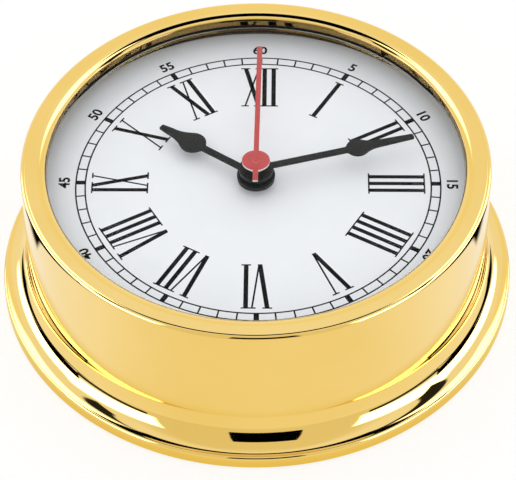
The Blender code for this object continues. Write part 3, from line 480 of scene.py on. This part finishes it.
def romanStrokes(letters, s):  # strokes as foot, head, width and whether each end has a serif
    strokes, x = [], 0.0
    previous = ""
    beside = s["serifReach"] + s["besideSerif"]
    for letter in letters:
        if letter == "I":
            x += s["pitch"] if previous == "I" else (beside if previous else 0)
            strokes.append(((x, 0), (x, 1), s["thick"], True, True))
            previous = "I"
            continue
        half = s["vHalf"] if letter == "V" else s["xHalf"]
        x += half + (beside if previous == "I" else (s["apart"] if previous else 0))
        if letter == "V":
            strokes.append(((x, 0), (x - half, 1), s["thick"], False, True))
            strokes.append(((x + s["vFoot"], 0), (x + half, 1), s["thin"], False, True))
        else:
            strokes.append(((x + half, 0), (x - half, 1), s["thick"], True, True))
            strokes.append(((x - half, 0), (x + half, 1), s["thin"], True, True))
        x += half
        previous = letter
    return strokes


def buildRomans(s):
    bm = bmesh.new()
    hours = ["XII", "I", "II", "III", "IIII", "V", "VI", "VII", "VIII", "IX", "X", "XI"]
    height = s["romanHead"] - s["romanFoot"]
    for hour, letters in enumerate(hours):
        strokes = romanStrokes(letters, s)
        xs = [p[0] for stroke in strokes for p in stroke[:2]]
        middle = (min(xs) + max(xs)) / 2
        verts = []
        for foot, head, width, footSerif, headSerif in strokes:
            low = (foot[0] - middle, s["romanFoot"] + foot[1] * height)
            high = (head[0] - middle, s["romanFoot"] + head[1] * height)
            verts += addBar(bm, low, high, width, s["low"], s["high"])
            reach = s["serifReach"] * (1 if width == s["thick"] else s["thinSerif"])
            for end, wanted, way in ((low, footSerif, 1), (high, headSerif, -1)):
                if wanted:
                    verts += addBar(bm, end, (end[0], end[1] + way * s["serif"]), 2 * reach,
                                    s["low"], s["high"] - s["serifDip"])
        turnClockwise(bm, verts, hour * s["hourTurn"] + s["turn"])
    return printPiece("hour_numerals", bm, s)


def buildMinuteNumbers(s):
    bm = bmesh.new()
    for minute in range(s["numbered"], 61, s["numbered"]):
        text = bpy.data.curves.new("number", "FONT")
        text.body = str(minute)
        text.size = s["numberSize"] * s["letterScale"]
        text.align_x, text.align_y = "CENTER", "CENTER"
        text.offset = s["bold"]
        text.extrude = (s["high"] - s["low"]) / 2
        text.resolution_u = s["curveSteps"]
        holder = bpy.data.objects.new("number", text)
        scene.collection.objects.link(holder)
        mesh = bpy.data.meshes.new_from_object(holder.evaluated_get(bpy.context.evaluated_depsgraph_get()))
        lift = Matrix.Translation((0, s["numberRadius"], (s["high"] + s["low"]) / 2))
        mesh.transform(Matrix.Rotation(-math.radians(minute * s["minuteTurn"] + s["turn"]), 4, "Z") @ lift)
        bm.from_mesh(mesh)
        bpy.data.objects.remove(holder)
        bpy.data.curves.remove(text)
        bpy.data.meshes.remove(mesh)
    return printPiece("minute_numbers", bm, s)


buildTrack(dialPrint)
buildRomans(dialPrint)
buildMinuteNumbers(dialPrint)
print("dial print done")


# Hands: two pear hands with their bushes and a red second hand

handShape = {
    "hour": {"angle": 306, "length": 34.2, "pearAt": 22.6, "pearHalf": 3.9, "eye": 5.5, "bottom": 40.0, "bore": 2.8,
             "bush": 5.4, "bushBottom": 38.9, "bushTop": 40.0},
    "minute": {"angle": 74.7, "length": 47.4, "pearAt": 30.45, "pearHalf": 3.3, "eye": 4.9, "bottom": 42.6,
               "bore": 1.9, "bush": 4.8, "bushBottom": 41.5, "bushTop": 42.6},
    "stemHalf": 1.1, "neckHalf": 1.35, "tipHalf": 0.95, "tipRound": 0.45, "sheet": 0.5, "edge": 0.12,
    "pearArc": (-62, 32),  # degrees of the swelling that are round
    "stemEnd": 1.02, "neckAt": 2.15, "leave": 0.75, "arrive": 0.6, "lean": 0.02,  # shares of the pear's half width
    "pearSteps": 22, "sweepSteps": 8, "tipSteps": 4, "eyeSteps": 56, "bushSteps": 64,
}


def pearOutline(h, s):  # points to +Y
    pear, at = h["pearHalf"], h["pearAt"]
    bulb = arcPoints((0, at), pear, *s["pearArc"], s["pearSteps"])
    turn = math.radians(s["pearArc"][1])
    start, end = Vector(bulb[-1]), Vector((s["neckHalf"], at + s["neckAt"] * pear))
    leave = Vector((-math.sin(turn), math.cos(turn))) * pear * s["leave"]
    arrive = Vector((s["lean"], -1)) * pear * s["arrive"]
    sweep = []
    for k in range(1, s["sweepSteps"] + 1):  # smooth run from the swelling into the neck
        t = k / s["sweepSteps"]
        sweep.append(tuple((1 - t) ** 3 * start + 3 * (1 - t) ** 2 * t * (start + leave)
                           + 3 * (1 - t) * t ** 2 * (end + arrive) + t ** 3 * end))
    tipCentre = (s["tipHalf"] - s["tipRound"], h["length"] - s["tipRound"])
    tip = arcPoints(tipCentre, s["tipRound"], 0, 90, s["tipSteps"])
    right = [(s["stemHalf"], at - pear * s["stemEnd"])] + bulb + sweep + tip
    left = [(-x, y) for x, y in reversed(right)]
    side = math.degrees(math.acos(s["stemHalf"] / h["eye"]))
    return right + left + arcPoints((0, 0), h["eye"], 180 - side, 360 + side, s["eyeSteps"])


def buildHand(name, h, s, body, nodes):
    bm = sheetFrom([pearOutline(h, s), circleLoop(h["bore"])], h["bottom"], h["bottom"] + s["sheet"])
    roundRims(bm, s["edge"])
    turnClockwise(bm, bm.verts, h["angle"])
    makePiece(name, bm, finishes["black_hands"], body, [nodes[0]])
    bush = spinTube(h["bore"], h["bush"], h["bushBottom"], h["bushTop"], s["bushSteps"])
    roundRims(bush, s["edge"])
    makePiece(name + "_boss", bush, finishes["black_hands"], body, [nodes[1]])


buildHand("hour_pear_hand", handShape["hour"], handShape, "hours", ["hour_hand", "hour_hand_bush"])
buildHand("minute_pear_hand", handShape["minute"], handShape, "minutes", ["minute_hand", "minute_hand_bush"])

secondShape = {
    "angle": 1.8, "length": 47.5, "half": 0.75, "tail": 8.0, "disc": 4.0, "bottom": 45.7, "sheet": 0.6,
    "edge": 0.1, "edgeSteps": 2, "discSteps": 28,
    "pip": 1.0, "pipSunk": 0.05, "pipStraight": 0.12, "pipTaper": 0.8, "pipTop": 46.58,  # rivet at the centre
    "pipeInner": 0.8, "pipeOuter": 1.4, "pipeBottom": 43.6, "pipeTop": 45.7, "steps": 40,
}


def buildSecondHand(s):
    half, disc = s["half"], s["disc"]
    side = math.degrees(math.acos(half / disc))
    loop = [(half, s["length"]), (-half, s["length"])]
    loop += arcPoints((0, 0), disc, 180 - side, 180 + side, s["discSteps"])
    loop += [(-half, -s["tail"]), (half, -s["tail"])]
    loop += arcPoints((0, 0), disc, -side, side, s["discSteps"])
    top = s["bottom"] + s["sheet"]
    bm = sheetFrom([loop], s["bottom"], top)
    roundRims(bm, s["edge"], s["edgeSteps"])
    sunk = top - s["pipSunk"]
    rivet = [(0, sunk), (s["pip"], sunk), (s["pip"], top + s["pipStraight"]),
             (s["pip"] * s["pipTaper"], s["pipTop"]), (0, s["pipTop"])]
    joinInto(bm, spinProfile(rivet, s["steps"], closed=False))
    turnClockwise(bm, bm.verts, s["angle"])
    makePiece("red_second_hand", bm, finishes["red_hand"], "seconds", ["second_hand"])
    pipe = spinTube(s["pipeInner"], s["pipeOuter"], s["pipeBottom"], s["pipeTop"], s["steps"])
    roundRims(pipe, s["edge"], s["edgeSteps"])
    makePiece("second_pipe", pipe, finishes["polished_brass"], "seconds", ["second_hand_pipe"])


buildSecondHand(secondShape)
print("hands done")


# Back of the clock: plate, seal, retaining ring, battery and setting knob

plateShape = {"radius": 70.0, "bottom": 0.0, "top": 2.4, "edge": 0.25, "steps": 200,
              "holes": [(57.0, 1.5, 30), (48.0, 2.3, 90)],  # place, radius and first angle, for clips and bulkhead
              "each": 3}
sealShape = {"inner": 70.4, "outer": 72.2, "bottom": 0.2, "top": 2.0, "round": 0.4, "steps": 192}
retainerShape = {"inner": 63.0, "outer": 66.3, "bottom": 34.4, "top": 35.5, "gap": 8, "edge": 0.2, "steps": 160}
cellShape = {"radius": 7.1, "ends": (-24.6, 24.6), "round": 0.7, "roundSteps": 6, "nub": (2.7, 1.2),
             "nubRound": 0.35, "nubSteps": 4, "at": (-19.35, 25.7), "steps": 64}
knobShape = {"radius": 5.0, "depth": 0.4, "ribs": 18, "ribSteps": 12, "bottom": 15.0, "top": 17.9,
             "at": (-5.0625, 17.7685), "edge": 0.25}


def buildPlate(s):
    loops = [circleLoop(s["radius"], s["steps"])]
    for k in range(s["each"]):
        for place, radius, first in s["holes"]:
            way = math.radians(first + 360 * k / s["each"])
            loops.append(circleLoop(radius, at=(place * math.cos(way), place * math.sin(way))))
    bm = sheetFrom(loops, s["bottom"], s["top"])
    roundRims(bm, s["edge"])
    makePiece("back_plate", bm, finishes["polished_brass"], "mount", ["mount_plate"])


def buildRetainer(s):
    half = s["gap"] / 2
    loop = arcPoints((0, 0), s["outer"], half, 360 - half, s["steps"])
    loop += arcPoints((0, 0), s["inner"], 360 - half, half, s["steps"])
    bm = sheetFrom([loop], s["bottom"], s["top"])
    roundRims(bm, s["edge"])
    makePiece("retaining_ring", bm, finishes["bright_steel"], "case", ["snap_ring"])


def buildCell(s):
    (left, right), radius, rim = s["ends"], s["radius"], s["round"]
    (nub, tall), tip = s["nub"], s["nubRound"]
    points = [(0, left)] + arcPoints((radius - rim, left + rim), rim, -90, 0, s["roundSteps"])
    points += arcPoints((radius - rim, right - rim), rim, 0, 90, s["roundSteps"]) + [(nub, right)]
    points += arcPoints((nub - tip, right + tall - tip), tip, 0, 90, s["nubSteps"]) + [(0, right + tall)]
    bm = spinProfile(points, s["steps"], closed=False)
    bmesh.ops.rotate(bm, verts=bm.verts, cent=(0, 0, 0), matrix=Matrix.Rotation(math.radians(90), 3, "Y"))
    bmesh.ops.translate(bm, vec=(0, *s["at"]), verts=bm.verts)
    makePiece("dry_cell", bm, finishes["battery_can"], "battery_cell", ["battery"])


def buildKnob(s):
    loop = []
    count = s["ribSteps"] * s["ribs"]
    for k in range(count):
        turn = 2 * math.pi * k / count
        reach = s["radius"] - s["depth"] * (1 - math.cos(turn * s["ribs"])) / 2
        loop.append((s["at"][0] + reach * math.cos(turn), s["at"][1] + reach * math.sin(turn)))
    bm = sheetFrom([loop], s["bottom"], s["top"])
    roundRims(bm, s["edge"])
    makePiece("ribbed_knob", bm, finishes["black_plastic"], "setting", ["setting_knob"])


buildPlate(plateShape)
buildRing("rubber_seal", sealShape, "black_rubber", "base_seal", "mount")
buildRetainer(retainerShape)
buildCell(cellShape)
buildKnob(knobShape)

softened = {"join": 0.001, "edge": 0.15, "segments": 2, "least": 50, "nodes": [
    "movement_front", "movement_rear", "gear_plate", "spring_clip_1", "spring_clip_2", "spring_clip_3",
    "clip_screw_1", "clip_screw_2", "clip_screw_3", "battery_contact_plus", "battery_contact_minus",
    "stator", "coil", "circuit_board",
]}
for name in softened["nodes"]:  # pieces kept as they come from the part, with their edges broken
    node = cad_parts[name]
    weld = node.modifiers.new("weld", "WELD")
    weld.merge_threshold = softened["join"] * mm
    bevel = node.modifiers.new("edges", "BEVEL")
    bevel.width = softened["edge"] * mm
    bevel.segments = softened["segments"]
    bevel.limit_method = "ANGLE"
    bevel.angle_limit = math.radians(softened["least"])
print("back done")


# Studio: white floor and surroundings; panels, dark flags, tints and painted bounce light that show only in metal
# and glass

floorLook = {
    "half": 3.0, "cells": 8,  # half the floor's width, in metres
    "level": -0.02,  # just clear of the plate
    "paint": (0.97, 0.97, 0.97), "seen": (1.03, 1.03, 1.03), "shadowShare": 0.3,
    "plain": (1.0, 1.0, 1.0),  # this and the rest show only in metal and glass
    # painted bounce light and shade on the floor: a dimmer warm tone ahead of the clock and a brass-coloured glow
    # close round the rim
    "paintedBounceAhead": (0.945, 0.885, 0.68), "ahead": (-45, 45), "aheadSoft": 60,  # degrees to each side of the front
    "paintedBounceNear": (0.87, 0.74, 0.30), "near": (75, 81),
    "mat": (0, 0, 0), "matStart": 84, "matFront": -0.42, "matBack": (22, 0.21), "matSoft": 4,
}
brightPanel, softPanel, warmWall = (4.2, 4.2, 4.2), (3.0, 3.0, 3.0), (0.97, 0.91, 0.68)
black, thinBlack, highBlack = (0, 0, 0), (0.03, 0.03, 0.03), (0.02, 0.02, 0.02)
sky = {
    "plain": (1.0, 1.0, 1.0), "seen": (1, 1, 1), "base": (0.97, 0.97, 0.97),
    # azimuth from the front towards +X, elevation, tilt of the patch per degree, softness, colour
    "patches": [
        {"azimuth": (-55, 55), "elevation": (-20, 85), "tilt": 0, "soft": 30, "colour": (0.84, 0.78, 0.57)},
        {"azimuth": (43, 92), "elevation": (14.5, 41), "tilt": 0, "soft": 3, "colour": brightPanel, "pair": True},
        {"azimuth": (84, 130), "elevation": (3, 25), "tilt": -0.62, "soft": 5, "colour": brightPanel, "pair": True},
        {"azimuth": (125, 185), "elevation": (30, 45.5), "tilt": 0, "soft": 9, "colour": warmWall, "pair": True},
        {"azimuth": (122, 162), "elevation": (44, 68), "tilt": 0, "soft": 6, "colour": softPanel, "pair": True},
        {"azimuth": (-12, 18), "elevation": (13.5, 48.2), "tilt": 0, "soft": 0.6, "colour": black},
        {"azimuth": (46, 80), "elevation": (3.5, 10.5), "tilt": -0.18, "soft": 1, "colour": thinBlack, "pair": True},
        {"azimuth": (79, 136), "elevation": (-10.5, 3.5), "tilt": -0.52, "soft": 1, "colour": black, "pair": True},
        {"azimuth": (-112, -80), "elevation": (53, 64), "tilt": -0.45, "soft": 2, "colour": highBlack},
        {"azimuth": (79, 120), "elevation": (47.5, 62.5), "tilt": 0.8, "soft": 2, "colour": highBlack},
    ],
    "overhead": {"across": (-18, 18), "behind": (4, 29), "soft": 1.5, "colour": black},  # just behind the zenith
}


def withinRange(tree, value, ends, soft):  # 1 inside, 0 outside, smooth edge, in degrees
    middle, half, edge = (math.radians(v) for v in (sum(ends) / 2, (ends[1] - ends[0]) / 2, soft / 2))
    away = mathNode(tree, "ABSOLUTE", mathNode(tree, "SUBTRACT", value, middle))
    return mathNode(tree, "SUBTRACT", 1.0, rampNode(tree, away, half - edge, half + edge))


def frontAngle(tree, x, y):  # 0 at the front, growing towards +X
    return mathNode(tree, "ARCTAN2", x, mathNode(tree, "MULTIPLY", y, -1.0))


def rayKinds(tree):  # what the camera sees, and what shows in metal and glass
    path = tree.nodes.new("ShaderNodeLightPath")
    mirrored = mathNode(tree, "MAXIMUM", path.outputs["Is Glossy Ray"], path.outputs["Is Transmission Ray"])
    return path.outputs["Is Camera Ray"], mirrored


def bothSides(patch):  # one of a pair is given for the right, and its twin stands on the left
    if not patch.get("pair"):
        return [patch]
    near, far = patch["azimuth"]
    return [{**patch, "azimuth": (-far, -near), "tilt": -patch["tilt"]}, patch]


def buildSky(s):
    world = bpy.data.worlds.new("studioSky")
    scene.world = world
    world.use_nodes = True
    tree = world.node_tree
    tree.nodes.clear()
    x, y, z = splitCoord(tree, "Generated")
    azimuth = frontAngle(tree, x, y)
    elevation = mathNode(tree, "ARCSINE", z)
    tint = s["base"]
    for patch in [twin for listed in s["patches"] for twin in bothSides(listed)]:
        middle = math.radians(sum(patch["azimuth"]) / 2)
        lean = mathNode(tree, "MULTIPLY", mathNode(tree, "SUBTRACT", azimuth, middle), patch["tilt"])
        height = mathNode(tree, "SUBTRACT", elevation, lean)
        mask = mathNode(tree, "MULTIPLY", withinRange(tree, azimuth, patch["azimuth"], patch["soft"]),
                        withinRange(tree, height, patch["elevation"], patch["soft"]))
        tint = blendTint(tree, mask, tint, patch["colour"])
    bar = s["overhead"]
    across, behind = (mathNode(tree, "ARCTAN2", side, z) for side in (x, y))
    mask = mathNode(tree, "MULTIPLY", withinRange(tree, across, bar["across"], bar["soft"]),
                    withinRange(tree, behind, bar["behind"], bar["soft"]))
    tint = blendTint(tree, mask, tint, bar["colour"])
    camera, mirrored = rayKinds(tree)
    tint = blendTint(tree, mirrored, s["plain"], tint)
    tint = blendTint(tree, camera, tint, s["seen"])
    background = tree.nodes.new("ShaderNodeBackground")
    tree.links.new(tint, background.inputs["Color"])
    output = tree.nodes.new("ShaderNodeOutputWorld")
    tree.links.new(background.outputs[0], output.inputs["Surface"])


def buildFloor(s):
    bm = bmesh.new()
    bmesh.ops.create_grid(bm, x_segments=s["cells"], y_segments=s["cells"], size=s["half"])
    bmesh.ops.translate(bm, vec=(0, 0, s["level"] * mm), verts=bm.verts)
    mesh = bpy.data.meshes.new("floor")
    bm.to_mesh(mesh)
    bm.free()
    floor = bpy.data.objects.new("floor", mesh)
    scene.collection.objects.link(floor)
    material = bpy.data.materials.new("paleFloor")
    material.use_nodes = True
    tree = material.node_tree
    tree.nodes.clear()
    x, y = splitCoord(tree, "Object")[:2]
    # painted shade and warm bounce light ahead of the clock, seen only in metal and glass
    ahead = withinRange(tree, frontAngle(tree, x, y), s["ahead"], s["aheadSoft"])
    tint = blendTint(tree, ahead, s["plain"], s["paintedBounceAhead"])
    # painted brass-coloured bounce light on the floor close round the rim
    start, end = s["near"]
    close = mathNode(tree, "SUBTRACT", 1.0, rampNode(tree, distanceAcross(tree, x, y), start * mm, end * mm))
    tint = blendTint(tree, close, tint, s["paintedBounceNear"])
    # a dark wedge at each side
    side = mathNode(tree, "SUBTRACT", mathNode(tree, "ABSOLUTE", x), s["matStart"] * mm)
    front = mathNode(tree, "SUBTRACT", y, mathNode(tree, "MULTIPLY", side, s["matFront"]))
    reach, slope = s["matBack"]
    edge = mathNode(tree, "ADD", mathNode(tree, "MULTIPLY", side, slope), reach * mm)
    back = mathNode(tree, "SUBTRACT", edge, y)
    mat = mathNode(tree, "MINIMUM", side, mathNode(tree, "MINIMUM", front, back))
    tint = blendTint(tree, rampNode(tree, mat, 0.0, s["matSoft"] * mm), tint, s["mat"])
    camera, mirrored = rayKinds(tree)
    tint = blendTint(tree, camera, tint, s["seen"])
    glow = tree.nodes.new("ShaderNodeEmission")
    tree.links.new(tint, glow.inputs["Color"])
    matt = tree.nodes.new("ShaderNodeBsdfDiffuse")
    matt.inputs["Color"].default_value = (*s["paint"], 1)
    share = mathNode(tree, "MULTIPLY", camera, 1 - s["shadowShare"])  # the camera keeps a soft shadow
    output = tree.nodes.new("ShaderNodeOutputMaterial")
    mixShaders(tree, mathNode(tree, "MAXIMUM", share, mirrored), matt.outputs[0], glow.outputs[0], output)
    mesh.materials.append(material)


buildSky(sky)
buildFloor(floorLook)
print("studio done")


# Camera at the photograph's viewing angle, for a frame of 516 by 480

cameraView = {"place": (0.0, -530.4, 584.3), "aim": (0.39, -22.461, 37.18), "roll": -0.501,
              "lens": 184.5, "sensor": 36.0, "clip": (0.05, 20)}  # clip in metres


def buildCamera(s):
    data = bpy.data.cameras.new("camera")
    data.lens = s["lens"]
    data.sensor_width = s["sensor"]
    data.clip_start, data.clip_end = s["clip"]
    camera = bpy.data.objects.new("camera", data)
    scene.collection.objects.link(camera)
    camera.location = Vector(s["place"]) * mm
    look = (Vector(s["aim"]) - Vector(s["place"])).to_track_quat("-Z", "Y")
    camera.rotation_mode = "QUATERNION"
    camera.rotation_quaternion = look @ Matrix.Rotation(math.radians(s["roll"]), 3, "Z").to_quaternion()
    scene.camera = camera


buildCamera(cameraView)
